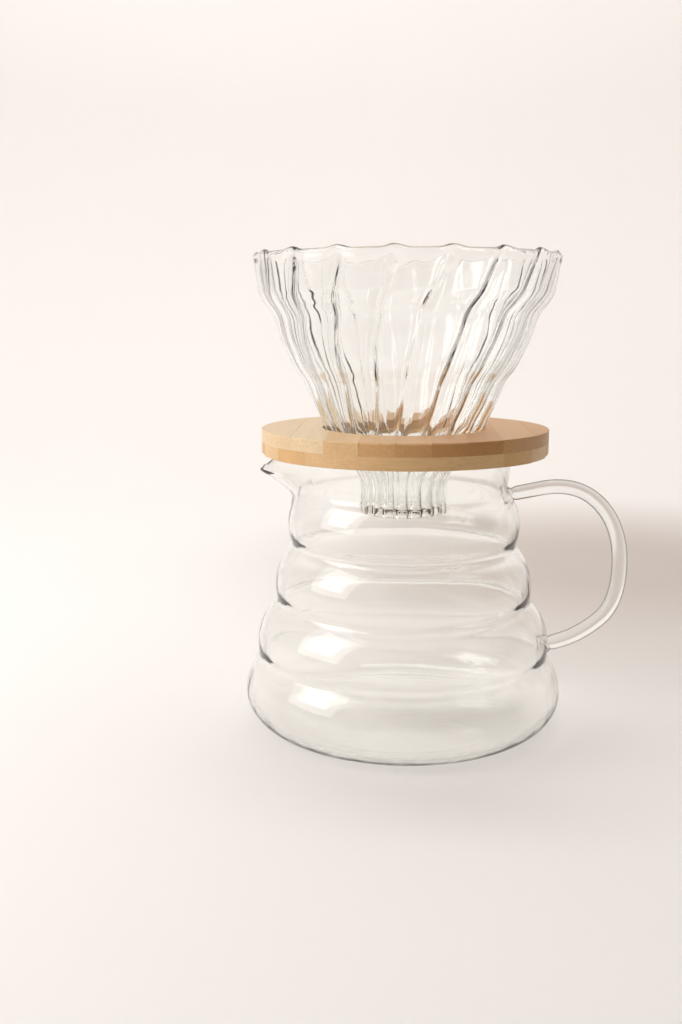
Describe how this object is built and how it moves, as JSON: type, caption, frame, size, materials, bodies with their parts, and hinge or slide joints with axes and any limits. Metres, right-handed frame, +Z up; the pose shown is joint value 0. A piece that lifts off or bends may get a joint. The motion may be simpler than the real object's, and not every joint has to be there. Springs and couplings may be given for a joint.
{
  "type": "pour over coffee dripper and server",
  "caption": "Fluted clear glass dripper cone in a round two-ply bamboo collar, on a ringed glass server with a pouring lip and a glass rod handle.",
  "frame": {"origin": "centre of the server's foot ring, on the surface it stands on", "axes": "+Z up along the axis of the cone, collar and server; +X towards the handle, -X towards the pouring lip"},
  "size_m": [0.1497, 0.1244, 0.1834],
  "materials": {
    "cone_glass": "clear pressed glass, fire-polished",
    "server_glass": "clear blown borosilicate glass",
    "handle_glass": "clear solid glass rod",
    "upper_bamboo": "sanded bamboo strips, end grain at the front",
    "lower_bamboo": "sanded bamboo strips, long grain at the front"
  },
  "bodies": {
    "server": {"server_body": "server_glass", "server_handle": "handle_glass"},
    "collar": {"collar_upper_strip_1": "upper_bamboo", "collar_upper_strip_2": "upper_bamboo", "collar_upper_strip_3": "upper_bamboo", "collar_upper_strip_4": "upper_bamboo", "collar_upper_strip_5": "upper_bamboo", "collar_upper_strip_6": "upper_bamboo", "collar_upper_strip_7": "upper_bamboo", "collar_upper_strip_8": "upper_bamboo", "collar_upper_strip_9": "upper_bamboo", "collar_lower_strip_1": "lower_bamboo", "collar_lower_strip_2": "lower_bamboo", "collar_lower_strip_3": "lower_bamboo", "collar_lower_strip_4": "lower_bamboo", "collar_lower_strip_5": "lower_bamboo", "collar_lower_strip_6": "lower_bamboo", "collar_lower_strip_7": "lower_bamboo", "collar_lower_strip_8": "lower_bamboo", "collar_lower_strip_9": "lower_bamboo"},
    "cone": {"dripper_cone": "cone_glass"}
  },
  "joints": [
    {"name": "collar_lift", "type": "slide", "parent": "server", "child": "collar", "axis": [0, 0, 1], "range_m": [0, 0.05]},
    {"name": "cone_lift", "type": "slide", "parent": "collar", "child": "cone", "axis": [0, 0, 1], "range_m": [0, 0.05]}
  ]
}
